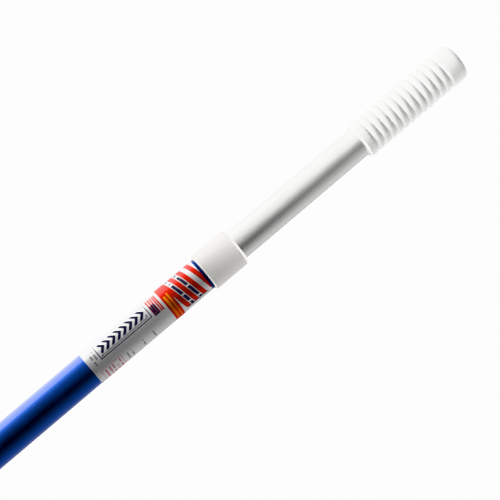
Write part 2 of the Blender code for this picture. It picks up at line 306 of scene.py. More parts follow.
class Effects:
    """The effects that several materials share."""

    def __init__(self) -> None:
        """Builds each group once."""
        self.around = self._around()
        self.drawn = self._drawn()
        self.mottle = self._mottle()
        self.scuffs = self._scuffs()
        self.grain = self._grain()
        self.wear = self._wear()
        self.block = self._block()
        self.rows = self._rows()

    def _around(self) -> Effect:
        """A point's turn from the front, in radians, and its radius and height in mm."""
        effect = Effect("around_the_pole", {}, ("Turn", "Radius", "Height"))
        x, y, z = effect.axes(effect.place())
        turn = effect.math("ARCTAN2", x, effect.times(y, -1.0))
        squares = effect.math("ADD", effect.math("POWER", x, 2.0), effect.math("POWER", y, 2.0))
        radius = effect.math("SQRT", squares)
        effect.give(Turn=turn, Radius=effect.math("DIVIDE", radius, MM))
        effect.give(Height=effect.math("DIVIDE", z, MM))
        return effect

    def _drawn(self) -> Effect:
        """The fine lines that a die leaves along a drawn tube."""
        effect = Effect("drawn_lines", {"Fineness": 1800.0, "Length": 0.012}, ("Lines", "Bands"))
        x, y, z = effect.axes(effect.place())
        drawn_out = effect.times(z, effect.inputs["Length"])
        place = effect.vector(x, y, drawn_out)
        lines = effect.noise(place, effect.inputs["Fineness"], 3.0)
        bands = effect.noise(place, effect.times(effect.inputs["Fineness"], 0.12), 1.0)
        effect.give(Lines=effect.ramp(lines, 0.3, 0.7), Bands=effect.ramp(bands, 0.35, 0.65))
        return effect

    def _mottle(self) -> Effect:
        """Broad, soft unevenness, as of handling and an uneven bath."""
        effect = Effect("mottle", {"Size": 0.03}, ("Broad", "Close"))
        place = effect.scaled(effect.place(), (1.0, 1.0, 0.35))
        scale = effect.math("DIVIDE", 1.0, effect.inputs["Size"])
        effect.give(Broad=effect.ramp(effect.noise(place, scale, 2.0), 0.3, 0.7))
        close = effect.noise(place, effect.times(scale, 7.0), 4.0)
        effect.give(Close=effect.ramp(close, 0.35, 0.7))
        return effect

    def _scuffs(self) -> Effect:
        """Short fine scratches at two leans, and specks."""
        effect = Effect("scuffs", {"Amount": 0.3}, ("Scratches", "Specks"))
        place = effect.place()
        found: Signal = 0.0
        for turn, stretch in ((0.5, (90.0, 1400.0, 60.0)), (1.9, (1200.0, 80.0, 150.0))):
            lean = effect.noise(effect.scaled(place, stretch, turn), 1.0, 1.0)
            found = effect.most(found, effect.ramp(lean, 0.735, 0.76))
        patches = effect.ramp(effect.noise(place, 24.0, 2.0), 0.45, 0.65)
        scratches = effect.times(found, effect.times(patches, effect.inputs["Amount"]))
        effect.give(Scratches=scratches)
        dots = effect.add("ShaderNodeTexVoronoi", feature="F1", distance="EUCLIDEAN")
        effect.feed(dots.inputs["Vector"], place)
        dots.inputs["Scale"].default_value = 260.0
        near = effect.ramp(dots.outputs["Distance"], 0.05, 0.11, 1.0, 0.0)
        effect.give(Specks=effect.times(near, effect.inputs["Amount"]))
        return effect

    def _grain(self) -> Effect:
        """The fine skin of a moulded piece."""
        effect = Effect("moulded_grain", {"Fineness": 900.0}, ("Skin", "Flow"))
        place = effect.place()
        effect.give(Skin=effect.noise(place, effect.inputs["Fineness"], 3.0))
        flow = effect.noise(effect.scaled(place, (1.0, 1.0, 0.4)), 45.0, 2.0)
        effect.give(Flow=effect.ramp(flow, 0.3, 0.7))
        return effect

    def _wear(self) -> Effect:
        """Rubbed outer corners, and hollows, which the moulded finishes tint as painted shade."""
        effect = Effect("edge_wear", {"Breadth": 0.04}, ("Rubbed", "Hollow"))
        bend = effect.add("ShaderNodeNewGeometry").outputs["Pointiness"]
        broken = effect.line(effect.noise(effect.place(), 300.0, 2.0), 0.02, -0.01)
        bend = effect.math("ADD", bend, broken)
        high = effect.math("ADD", 0.51, effect.inputs["Breadth"])
        low = effect.less(0.49, effect.inputs["Breadth"])
        rubbed = effect.math("DIVIDE", effect.less(bend, 0.51), effect.less(high, 0.51), clamp=True)
        hollow = effect.math("DIVIDE", effect.less(0.49, bend), effect.less(0.49, low), clamp=True)
        effect.give(Rubbed=rubbed, Hollow=hollow)
        return effect

    def _block(self) -> Effect:
        """A printed rectangle: 1 inside it."""
        inputs = {"Across": 0.0, "Up": 0.0, "Left": 0.0, "Right": 1.0, "Bottom": 0.0, "Top": 1.0}
        effect = Effect("printed_block", inputs, ("Ink",))
        sides: list[Socket] = []
        for place, low, high in (("Across", "Left", "Right"), ("Up", "Bottom", "Top")):
            middle = effect.times(effect.math("ADD", effect.inputs[low], effect.inputs[high]), 0.5)
            half = effect.times(effect.less(effect.inputs[high], effect.inputs[low]), 0.5)
            sides.append(effect.math("COMPARE", effect.inputs[place], middle, half))
        effect.give(Ink=effect.times(*sides))
        return effect

    def _rows(self) -> Effect:
        """Rows of plain dashes of uneven length, in place of small print."""
        inputs = {"Along": 0.0, "Across": 0.0, "Pitch": 2.0, "Dash": 1.6}
        inputs |= {"Weight": 0.7, "Gap": 0.2, "Seed": 0.0}
        effect = Effect("rows_of_dashes", inputs, ("Ink",))
        rows = effect.math("DIVIDE", effect.inputs["Across"], effect.inputs["Pitch"])
        row, inside = effect.math("FLOOR", rows), effect.math("FRACT", rows)
        off_middle = effect.math("ABSOLUTE", effect.less(inside, 0.5))
        half = effect.times(effect.inputs["Weight"], 0.5)
        stroke = effect.ramp(effect.less(half, off_middle), -0.04, 0.04)
        shifted = effect.math("ADD", effect.inputs["Along"], effect.times(row, 3.7))
        cell = effect.math("FLOOR", effect.math("DIVIDE", shifted, effect.inputs["Dash"]))
        random = effect.add("ShaderNodeTexWhiteNoise", noise_dimensions="3D")
        effect.feed(random.inputs["Vector"], effect.vector(cell, row, effect.inputs["Seed"]))
        inked = effect.math("GREATER_THAN", random.outputs["Value"], 0.15)
        along = effect.math("FRACT", effect.math("DIVIDE", shifted, effect.inputs["Dash"]))
        opening = effect.ramp(along, 0.0, effect.times(effect.inputs["Gap"], 0.7))
        closing = effect.ramp(along, effect.less(1.0, effect.inputs["Gap"]), 1.0, 1.0, 0.0)
        dash = effect.times(inked, effect.times(opening, closing))
        effect.give(Ink=effect.times(stroke, dash))
        return effect


# ---------------------------------------------------------------------------------------------------------
# Finishes
# ---------------------------------------------------------------------------------------------------------


@dataclass(frozen=True)
class Finish:
    """What every finish has: a name, which is its material slot, and the effects it draws on."""

    slot: str
    effects: Effects

    @property
    def title(self) -> str:
        """The material's name."""
        return f"{self.slot}_finish"

    def begin(self, **constants: float | Colour) -> tuple[bpy.types.Material, Tree, Node]:
        """Starts the material.

        Args:
            **constants: The shader's inputs that are the same all over, by name, with _ for a space.

        Returns:
            The material, its tree and its shader.
        """
        material = bpy.data.materials.new(self.title)
        material.use_nodes = True
        tree = Tree(material.node_tree)
        shader = material.node_tree.nodes["Principled BSDF"]
        for name, value in constants.items():
            tree.feed(shader.inputs[name.replace("_", " ")], value)
        return material, tree, shader

    def bump(self, tree: Tree, shader: Node, height: Signal, depth: float, strength: float = 1.0) -> None:
        """Gives the shader a relief.

        Args:
            tree: The material's tree.
            shader: The shader.
            height: The relief, from 0 to 1.
            depth: How deep it is, in metres.
            strength: How much of it shows.
        """
        node = tree.add("ShaderNodeBump")
        tree.feed(node.inputs["Height"], height)
        node.inputs["Distance"].default_value = depth
        node.inputs["Strength"].default_value = strength
        tree.feed(shader.inputs["Normal"], node.outputs["Normal"])

    def material(self) -> bpy.types.Material:
        """Builds the material."""
        raise NotImplementedError


@dataclass(frozen=True)
class DrawnAluminium(Finish):
    """Drawn tube under an anodised skin, dyed or clear, bare where cut and rubbed where handled."""

    dye: Colour
    dye_deep: Colour
    bare: Colour = (0.80, 0.81, 0.83)
    roughness: float = 0.19
    gloss: float = 1.0
    scuffing: float = 0.5
    # Heights of a band on the tube that is darkened as painted shadow of the collar
    painted_collar_shadow_span: tuple[float, float] = (0.0, 0.0)

    def material(self) -> bpy.types.Material:
        """Builds the material: dye, drawn lines, scuffs, a painted shadow band under the collar and bare cut
        ends.
        """
        material, tree, shader = self.begin(
            Metallic=1.0, Coat_Weight=self.gloss, Coat_Roughness=0.05, Coat_IOR=1.5
        )
        drawn = self.effects.drawn.use(tree)
        mottle = self.effects.mottle.use(tree, size=0.05)
        scuffs = self.effects.scuffs.use(tree, amount=self.scuffing)
        wear = self.effects.wear.use(tree, breadth=0.05)
        deeper = tree.line(drawn["Bands"], 0.35, tree.times(mottle["Broad"], 0.4))
        colour = tree.mix(deeper, self.dye, self.dye_deep)
        # Painted shadow: the tube is darkened, and its coat thinned, from the label's top to the collar's
        # foot
        height = self.effects.around.use(tree)["Height"]
        middle, half = sum(self.painted_collar_shadow_span) / 2 / MM, (self.painted_collar_shadow_span[1] - self.painted_collar_shadow_span[0]) / 2 / MM
        painted_collar_shadow = tree.math("COMPARE", height, middle, half)
        colour = tree.mix(tree.times(painted_collar_shadow, 0.8), colour, tuple(0.07 * c for c in self.dye_deep))
        if self.gloss:
            tree.feed(shader.inputs["Coat Weight"], tree.line(painted_collar_shadow, -0.8 * self.gloss, self.gloss))
        facing = tree.axes(tree.add("ShaderNodeNewGeometry").outputs["Normal"])[2]
        cut_end = tree.ramp(tree.math("ABSOLUTE", facing), 0.6, 0.8)
        rubbed = tree.times(wear["Rubbed"], 0.5)
        bared = tree.most(cut_end, tree.most(rubbed, tree.times(scuffs["Scratches"], 0.35)))
        tree.feed(shader.inputs["Base Color"], tree.mix(bared, colour, self.bare))
        rough = tree.line(drawn["Lines"], 0.05, self.roughness - 0.04)
        rough = tree.line(mottle["Close"], 0.05, rough)
        rough = tree.line(scuffs["Scratches"], 0.2, rough)
        tree.feed(shader.inputs["Roughness"], tree.line(cut_end, 0.1, rough))
        relief = tree.less(drawn["Lines"], tree.times(scuffs["Scratches"], 2.0))
        self.bump(tree, shader, relief, 0.002 * MM, 0.35)
        return material


@dataclass(frozen=True)
class Patch:
    """A printed rectangle: its sides in degrees from the front, its ends in mm above the label's foot."""

    left: float
    right: float
    bottom: float
    top: float


@dataclass(frozen=True)
class PrintedFilm(Finish):
    """Silver-white film with a badge, bands, slanted stripes, and rows of dashes in place of words."""

    foot: float
    radius: float
    film: Colour = (0.74, 0.735, 0.745)
    grey: Colour = (0.23, 0.23, 0.25)
    navy: Colour = (0.008, 0.010, 0.05)
    red: Colour = (0.60, 0.016, 0.004)
    rose: Colour = (0.50, 0.13, 0.14)
    flame: Colour = (1.0, 0.33, 0.02)
    badge: Patch = Patch(-57, 0.5, 12.4, 68.9)
    badge_line: float = 0.8
    chevrons: Patch = Patch(-49, -12, 16, 66)
    underline: Patch = Patch(-8.6, -6.6, 16, 66)
    badge_dot: Patch = Patch(-8.6, -5.0, 14.4, 16.0)
    notes: tuple[Patch, ...] = (Patch(-44, 5, 4.9, 7.5), Patch(-44, -9, 8.3, 10.7))
    tag: Patch = Patch(-31, 5.6, 71.5, 77.2)
    rungs: tuple[float, ...] = (71.9, 74.4, 76.6, 78.9, 80.8)
    rung_span: tuple[float, float] = (-57.0, 5.6)
    rung_width: float = 1.3
    chevron_pitch: float = 6.25
    chevron_lean: float = 0.9
    chevron_share: float = 0.55
    row_height: float = 2.2
    frame_line: float = 0.35
    band: tuple[float, float] = (84.1, 93.6)
    flames: tuple[Patch, ...] = (Patch(-24, 70, 86.1, 88.3), Patch(-30, 70, 89.9, 91.4))
    stripes_from: float = 94.0
    stripe_pitch: float = 8.95
    stripe_share: float = 0.505
    stripe_lean: float = 3.4
    lane_height: float = 400.0
    lane_dash: float = 1.7
    stripes_span: tuple[float, float] = (-74.0, 54.0)
    stripe_end: Patch = Patch(54, 58.5, 98.0, 121.0)
    frame_box: Patch = Patch(27, 96, 5.5, 27.3)
    frame_rows: tuple[float, ...] = (9.3, 13.3, 16.7, 20.6, 24.2)
    side_marks: tuple[float, ...] = (32.6, 37.2, 49.9, 61.5)
    back_notes: Patch = Patch(112, 168, 20, 62)
    back_bars: Patch = Patch(-160, -112, 14, 30)

    def material(self) -> bpy.types.Material:
        """Builds the material: the inks over the film."""
        material, tree, shader = self.begin(
            Coat_Weight=0.05, Coat_Roughness=0.14, Coat_IOR=1.5, Specular_IOR_Level=0.2
        )
        around = self.effects.around.use(tree)
        turn = around["Turn"]
        across = tree.times(turn, self.radius / MM)
        up = tree.less(around["Height"], self.foot / MM)
        mottle = self.effects.mottle.use(tree, size=0.02)
        scuffs = self.effects.scuffs.use(tree, amount=0.35)
        red, stripes_dashes = self.stripes(tree, turn, across, up)
        half = self.rung_width / 2
        rungs = (Patch(*self.rung_span, height - half, height + half) for height in self.rungs)
        red = tree.most(red, self.any_of(tree, across, up, rungs))
        colour = tree.mix(mottle["Broad"], self.film, tuple(0.93 * c for c in self.film))
        red_now = tree.mix(mottle["Close"], self.red, tuple(0.85 * c for c in self.red))
        colour = tree.mix(red, colour, red_now)
        glow = self.flame_glow(tree, turn, across, up)
        colour = tree.mix(glow, colour, self.flame)
        rose = self.side_panel(tree, across, up)
        colour = tree.mix(rose, colour, self.rose)
        grey = self.small_print(tree, across, up)
        colour = tree.mix(grey, colour, self.grey)
        navy = tree.most(self.badge_print(tree, across, up), stripes_dashes)
        colour = tree.mix(navy, colour, self.navy)
        dull = tree.most(navy, rose, grey)
        worn = tree.times(scuffs["Scratches"], 0.4)
        tree.feed(shader.inputs["Base Color"], tree.mix(worn, colour, self.film))
        metallic = tree.line(tree.most(red, glow), 0.36, 0.52)
        tree.feed(shader.inputs["Metallic"], tree.line(dull, -0.5, metallic, clamp=True))
        rough = tree.line(mottle["Close"], 0.08, 0.3)
        tree.feed(shader.inputs["Roughness"], tree.line(scuffs["Scratches"], 0.15, rough))
        self.bump(tree, shader, mottle["Broad"], 0.02 * MM, 0.5)
        return material

    def block(self, tree: Tree, across: Signal, up: Signal, patch: Patch, inset: float = 0.0) -> Socket:
        """A filled rectangle.

        Args:
            tree: The material's tree.
            across: The way round from the front, in mm.
            up: The height above the label's foot, in mm.
            patch: The rectangle.
            inset: How far in from its sides the ink stays, in mm.

        Returns:
            The ink.
        """
        per_degree = math.radians(self.radius / MM)
        sides = {
            "left": patch.left * per_degree + inset,
            "right": patch.right * per_degree - inset,
            "bottom": patch.bottom + inset,
            "top": patch.top - inset,
        }
        return self.effects.block.use(tree, across=across, up=up, **sides)["Ink"]

    def any_of(self, tree: Tree, across: Signal, up: Signal, patches: Iterable[Patch]) -> Socket:
        """Several filled rectangles as one ink."""
        return tree.most(*(self.block(tree, across, up, patch) for patch in patches))

    def outline(self, tree: Tree, across: Signal, up: Signal, patch: Patch, line: float) -> Socket:
        """A rectangle's outline, its line inside the rectangle."""
        whole = self.block(tree, across, up, patch)
        middle = self.block(tree, across, up, patch, line)
        return tree.less(whole, middle)

    def dashes(
        self, tree: Tree, across: Signal, up: Signal, patch: Patch, pitch: float, seed: float
    ) -> Socket:
        """Rows of dashes that fill a rectangle.

        Args:
            tree: The material's tree.
            across: The way round from the front, in mm.
            up: The height above the label's foot, in mm.
            patch: The rectangle.
            pitch: From one row to the next, in mm.
            seed: Sets the dashes' lengths.

        Returns:
            The ink.
        """
        from_foot = tree.less(up, patch.bottom)
        look = {"pitch": pitch, "dash": pitch * 0.85, "seed": seed}
        rows = self.effects.rows.use(tree, along=across, across=from_foot, **look)
        return tree.times(rows["Ink"], self.block(tree, across, up, patch))

    def stripes(self, tree: Tree, turn: Signal, across: Signal, up: Signal) -> tuple[Socket, Socket]:
        """The red band, the slanted red stripes above it, and the dashes on the white between them.

        Args:
            tree: The material's tree.
            turn: The way round from the front, in radians.
            across: The same, in mm.
            up: The height above the label's foot, in mm.

        Returns:
            The red ink and the navy ink.
        """
        start = tree.line(turn, self.stripe_lean, self.stripes_from)
        count = tree.math("DIVIDE", tree.less(up, start), self.stripe_pitch)
        within = tree.math("FRACT", count)
        soft = 0.012
        striped = tree.times(tree.ramp(within, 0.0, soft),
            tree.ramp(within, self.stripe_share - soft, self.stripe_share + soft, 1.0, 0.0),
        )
        low, high = self.stripes_span
        above = tree.ramp(up, self.band[1] - 0.1, self.band[1] + 0.1)
        span = self.block(tree, across, up, Patch(low, high, self.band[1] - 1.0, 140.0))
        striped = tree.times(tree.times(striped, above), span)
        band = self.block(tree, across, up, Patch(-190, 190, *self.band))
        middle = (1 + self.stripe_share) / 2
        off_middle = tree.math("ABSOLUTE", tree.less(within, middle))
        lane = tree.times(tree.ramp(off_middle, 0.16, 0.175, 1.0, 0.0), span)
        near = tree.times(tree.ramp(count, 0.0, 0.05), tree.ramp(count, 1.95, 2.0, 1.0, 0.0))
        along = tree.times(count, self.lane_height)
        look = {"pitch": self.lane_height, "dash": self.lane_dash, "weight": 1.6, "gap": 0.06, "seed": 3.0}
        rows = self.effects.rows.use(tree, along=across, across=along, **look)
        dashes = tree.times(tree.times(rows["Ink"], lane), near)
        return tree.most(striped, band), dashes

    def flame_glow(self, tree: Tree, turn: Signal, across: Signal, up: Signal) -> Socket:
        """The two streaks in the red band, brightest at the front and dying away to the right."""
        streaks = self.any_of(tree, across, up, self.flames)
        fading = tree.ramp(turn, -0.1, 0.7, 0.85, 0.4)
        return tree.times(streaks, fading)

    def badge_print(self, tree: Tree, across: Signal, up: Signal) -> Socket:
        """The boxed badge: an outline, a row of chevrons, a line beside them and the tag above."""
        ink = self.outline(tree, across, up, self.badge, self.badge_line)
        per_degree = math.radians(self.radius / MM)
        middle = (self.chevrons.left + self.chevrons.right) / 2 * per_degree
        off_middle = tree.math("ABSOLUTE", tree.less(across, middle))
        count = tree.math("DIVIDE", tree.line(off_middle, self.chevron_lean, up), self.chevron_pitch)
        within = tree.math("FRACT", count)
        edge = self.chevron_share
        closing = tree.ramp(within, edge - 0.01, edge + 0.01, 1.0, 0.0)
        bars = tree.times(tree.ramp(within, 0.0, 0.02), closing)
        chevrons = tree.times(bars, self.block(tree, across, up, self.chevrons))
        solid = (self.underline, self.badge_dot, self.stripe_end)
        ink = tree.most(ink, chevrons, self.any_of(tree, across, up, solid))
        tag = self.block(tree, across, up, self.tag)
        specks = self.dashes(tree, across, up, self.tag, 1.1, 9.0)
        tag = tree.times(tag, tree.line(specks, -0.3, 1.0))
        bars_at_back = tree.math("FRACT", tree.times(across, 0.9))
        uneven = tree.math("ADD", bars_at_back, self.effects.mottle.use(tree, size=0.003)["Broad"])
        bars_at_back = tree.math("GREATER_THAN", uneven, 0.95)
        bars_at_back = tree.times(bars_at_back, self.block(tree, across, up, self.back_bars))
        return tree.most(ink, tag, bars_at_back)

    def small_print(self, tree: Tree, across: Signal, up: Signal) -> Socket:
        """The grey rows: below the badge, down the right side and at the back."""
        ink: Signal = 0.0
        for number, patch in enumerate(self.notes):
            row = self.dashes(tree, across, up, patch, patch.top - patch.bottom, 1.0 + number)
            ink = tree.most(ink, row)
        half = self.row_height / 2
        for number, height in enumerate(self.side_marks):
            patch = Patch(36, 64, height - half, height + half)
            ink = tree.most(ink, self.dashes(tree, across, up, patch, self.row_height, 20.0 + number))
        return tree.most(ink, self.dashes(tree, across, up, self.back_notes, 2.4, 5.0))

    def side_panel(self, tree: Tree, across: Signal, up: Signal) -> Socket:
        """The thin-lined box on the right side and the rows in it."""
        ink = self.outline(tree, across, up, self.frame_box, self.frame_line)
        left, right, half = self.frame_box.left + 5, self.frame_box.right - 5, self.row_height / 2
        for number, height in enumerate(self.frame_rows):
            patch = Patch(left, right, height - half, height + half)
            ink = tree.most(ink, self.dashes(tree, across, up, patch, self.row_height, 30.0 + number))
        return ink


@dataclass(frozen=True)
class Moulded(Finish):
    """A moulded plastic or rubber: fine skin, faint flow marks, rubbed corners, dirt specks and painted
    shade in the hollows.
    """

    colour: Colour
    shade: Colour
    grime_and_shade: Colour
    roughness: float
    grain: float
    grain_depth: float
    grime_and_shade_share: float = 0.35
    gloss: float = 0.0

    def material(self) -> bpy.types.Material:
        """Builds the material."""
        material, tree, shader = self.begin(
            Coat_Weight=self.gloss, Coat_Roughness=0.1, Coat_IOR=1.5, IOR=1.5
        )
        grain = self.effects.grain.use(tree, fineness=self.grain)
        mottle = self.effects.mottle.use(tree, size=0.02)
        wear = self.effects.wear.use(tree, breadth=0.06)
        scuffs = self.effects.scuffs.use(tree, amount=0.5)
        colour = tree.mix(grain["Flow"], self.colour, self.shade)
        # Painted shade: hollows tinted towards the grime colour, which darkens them on the pale pieces; the
        # specks added next are dirt
        hollow_shade_and_specks = tree.times(wear["Hollow"], tree.line(mottle["Close"], 0.6, 0.5))
        hollow_shade_and_specks = tree.line(scuffs["Specks"], 0.5, hollow_shade_and_specks)
        colour = tree.mix(tree.times(hollow_shade_and_specks, self.grime_and_shade_share, clamp=True), colour, self.grime_and_shade)
        tree.feed(shader.inputs["Base Color"], colour)
        rough = tree.line(grain["Flow"], 0.06, self.roughness - 0.03)
        rough = tree.line(wear["Rubbed"], -0.12, rough)
        tree.feed(shader.inputs["Roughness"], tree.line(scuffs["Scratches"], 0.1, rough))
        relief = tree.line(scuffs["Scratches"], -0.8, grain["Skin"])
        self.bump(tree, shader, relief, self.grain_depth, 0.6)
        return material


@dataclass(frozen=True)
class PlatedSteel(Finish):
    """Bright zinc over turned steel, with turning rings and dulled patches."""

    colour: Colour = (0.63, 0.64, 0.67)
    dulled: Colour = (0.42, 0.42, 0.44)

    def material(self) -> bpy.types.Material:
        """Builds the material."""
        material, tree, shader = self.begin(Metallic=1.0)
        around = self.effects.around.use(tree)
        mottle = self.effects.mottle.use(tree, size=0.006)
        scuffs = self.effects.scuffs.use(tree, amount=0.6)
        rings = tree.noise(tree.vector(around["Radius"], 0.0, tree.times(around["Height"], 0.4)), 6.0, 2.0)
        tree.feed(shader.inputs["Base Color"], tree.mix(mottle["Broad"], self.colour, self.dulled))
        rough = tree.line(mottle["Close"], 0.15, 0.24)
        tree.feed(shader.inputs["Roughness"], tree.line(scuffs["Scratches"], 0.2, rough))
        self.bump(tree, shader, rings, 0.01 * MM, 0.5)
        return material


# ---------------------------------------------------------------------------------------------------------
# Shaping
# ---------------------------------------------------------------------------------------------------------

SIDES = 128
BAR_SIDES = 48
ARC_STEPS = 6
HOLDING_RING = 0.3 * MM


@dataclass(frozen=True)
class Corner:
    """A corner of a turned outline: its radius, its height and how far it is rounded, in metres."""

    radius: float
    height: float
    rounding: float = 0.0


def start_clean() -> None:
    """Leaves edit mode and deselects everything."""
    if bpy.context.mode != "OBJECT":
        bpy.ops.object.mode_set(mode="OBJECT")
    bpy.ops.object.select_all(action="DESELECT")


def rounded(corners: Sequence[Corner]) -> list[Point]:
    """An outline's points, with an arc at each rounded corner and a ring a little way off on both sides.

    The extra rings keep a long straight stretch beside an arc from being shaded as if it were bent.

    Args:
        corners: The outline's corners in order.

    Returns:
        Its points, each a radius and a height.
    """
    points: list[Point] = []
    for number, corner in enumerate(corners):
        here = Vector((corner.radius, corner.height))
        if corner.rounding == 0.0:
            points.append(tuple(here))
            continue
        before, after = corners[number - 1], corners[(number + 1) % len(corners)]
        to_before = Vector((before.radius, before.height)) - here
        to_after = Vector((after.radius, after.height)) - here
        back, ahead = to_before.normalized(), to_after.normalized()
        half = back.angle(ahead) / 2
        tangent = corner.rounding / math.tan(half)
        holding = tangent + max(0.6 * corner.rounding, HOLDING_RING)
        centre = here + (back + ahead).normalized() * corner.rounding / math.sin(half)
        first = (here + back * tangent - centre).normalized()
        last = (here + ahead * tangent - centre).normalized()
        if to_before.length > 3 * holding:
            points.append(tuple(here + back * holding))
        shares = (step / ARC_STEPS for step in range(ARC_STEPS + 1))
        points += [tuple(centre + first.slerp(last, share) * corner.rounding) for share in shares]
        if to_after.length > 3 * holding:
            points.append(tuple(here + ahead * holding))
    return points


def turned(name: str, points: Sequence[Point], solid: bool = False, sides: int = SIDES) -> Piece:
    """Turns an outline about the pole's axis, ring by ring.

    Args:
        name: The piece's name.
        points: The outline: closed on itself, or from the lower flat end to the upper one of a solid piece.
        solid: Whether the piece is solid, with a flat face at both ends.
        sides: How many sides a ring has.

    Returns:
        The piece.
    """
    start_clean()
    radius, height = points[0]
    fill = "NGON" if solid else "NOTHING"
    place = (0, 0, height)
    bpy.ops.mesh.primitive_circle_add(vertices=sides, radius=radius, location=place, fill_type=fill)
    piece = bpy.context.object
    piece.name = piece.data.name = name
    bpy.ops.object.mode_set(mode="EDIT")
    rest = list(points[1:]) if solid else [*points[1:], points[0]]
    for next_radius, next_height in rest:
        bpy.ops.mesh.extrude_region_move(TRANSFORM_OT_translate={"value": (0, 0, next_height - height)})
        ratio = next_radius / radius
        bpy.ops.transform.resize(value=(ratio, ratio, 1), center_override=(0, 0, next_height))
        radius, height = next_radius, next_height
    close_up(piece)
    return piece


def close_up(piece: Piece) -> None:
    """Merges doubled points, turns all faces outwards and puts the piece's place into its mesh."""
    select_only(piece)
    bpy.ops.object.mode_set(mode="EDIT")
    bpy.ops.mesh.select_all(action="SELECT")
    bpy.ops.mesh.remove_doubles(threshold=10 * WELD)
    bpy.ops.mesh.normals_make_consistent(inside=False)
    bpy.ops.object.mode_set(mode="OBJECT")
    bpy.ops.object.transform_apply(location=True, rotation=True, scale=True)


def select_only(piece: Piece) -> None:
    """Selects one object and makes it the active one."""
    start_clean()
    piece.select_set(True)
    bpy.context.view_layer.objects.active = piece


def select_parts(piece: Piece, kind: str, wanted: Callable[..., bool]) -> None:
    """Opens a piece in edit mode with some of its points or edges selected.

    Args:
        piece: The piece.
        kind: VERT or EDGE.
        wanted: Says whether a point at this place, or an edge between these two, is one of them.
    """
    select_only(piece)
    bpy.ops.object.mode_set(mode="EDIT")
    bpy.ops.mesh.select_mode(type=kind)
    bpy.ops.mesh.select_all(action="DESELECT")
    bpy.ops.object.mode_set(mode="OBJECT")
    points = piece.data.vertices
    if kind == "VERT":
        for point in points:
            point.select = wanted(point.co)
    else:
        for edge in piece.data.edges:
            edge.select = wanted(*(points[number].co for number in edge.vertices))
    bpy.ops.object.mode_set(mode="EDIT")


def combine(piece: Piece, tool: Piece, operation: str = "DIFFERENCE") -> None:
    """Cuts a tool's shape from a piece, or joins it on, and removes the tool.

    Args:
        piece: The piece.
        tool: The shape.
        operation: DIFFERENCE or UNION.
    """
    select_only(piece)
    modifier = piece.modifiers.new("combine", "BOOLEAN")
    modifier.operation = operation
    modifier.object = tool
    bpy.ops.object.modifier_apply(modifier=modifier.name)
    bpy.data.objects.remove(tool, do_unlink=True)


def round_bar(name: str, radius: float, near: Vector, far: Vector, easing: float = 0.0) -> Piece:
    """A round bar between two points, its end edges eased.

    Args:
        name: Its name.
        radius: Its radius.
        near: The middle of one end.
        far: The middle of the other.
        easing: How far the end edges are beveled.

    Returns:
        The bar.
    """
    start_clean()
    along = far - near
    turn = along.to_track_quat("Z", "Y").to_euler()
    bpy.ops.mesh.primitive_cylinder_add(
        vertices=BAR_SIDES, radius=radius, depth=along.length, location=(near + far) / 2, rotation=turn
    )
    bar = bpy.context.object
    bar.name = bar.data.name = name
    bpy.ops.object.transform_apply(location=True, rotation=True, scale=True)
    if easing:
        across = along.normalized()
        select_parts(bar, "EDGE", lambda a, b: abs((b - a).dot(across)) < WELD)
        bpy.ops.mesh.bevel(offset=easing, segments=3, affect="EDGES")
        bpy.ops.object.mode_set(mode="OBJECT")
    return bar


def block(name: str, size: Triple, middle: Triple) -> Piece:
    """A rectangular cutter.

    Args:
        name: Its name.
        size: Its three sides.
        middle: Its middle.

    Returns:
        The cutter.
    """
    start_clean()
    bpy.ops.mesh.primitive_cube_add(size=1, location=middle, scale=size)
    cutter = bpy.context.object
    cutter.name = name
    bpy.ops.object.transform_apply(location=True, rotation=True, scale=True)
    return cutter


def squeeze(piece: Piece, share: float, wanted: Callable[[Vector], bool]) -> None:
    """Makes some of a piece's rings oval by narrowing them along Y.

    Args:
        piece: The piece.
        share: The short axis over the long one.
        wanted: Says which points move.
    """
    select_parts(piece, "VERT", wanted)
    bpy.ops.transform.resize(value=(1, share, 1), center_override=(0, 0, 0))
    bpy.ops.object.mode_set(mode="OBJECT")


def smooth(piece: Piece, degrees: float = 32.0) -> None:
    """Shades a piece smooth, but for edges sharper than an angle."""
    select_only(piece)
    bpy.ops.object.shade_smooth_by_angle(angle=math.radians(degrees))


def settle(piece: Piece, body: Body, stands_for: Sequence[str], finish: Finish) -> None:
    """Dresses a finished piece, puts it on its body and hides the nodes it stands for.

    Args:
        piece: The piece.
        body: The body it moves with.
        stands_for: The nodes it replaces.
        finish: Its finish.
    """
    smooth(piece)
    material = bpy.data.materials.get(finish.title) or finish.material()
    piece.data.materials.clear()
    piece.data.materials.append(material)
    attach(piece, body.value)
    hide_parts(*stands_for)
    LOG.info("%s: %d faces, %s, rides on %s", piece.name, len(piece.data.polygons), finish.slot, body.value)


def reach(node: str) -> float:
    """A node's greatest distance from the axis, taken along X."""
    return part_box(node)[1].x


def span(node: str) -> tuple[float, float]:
    """The heights that a node starts and ends at."""
    low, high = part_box(node)
    return low.z, high.z


# ---------------------------------------------------------------------------------------------------------
# Sub-assemblies
# ---------------------------------------------------------------------------------------------------------


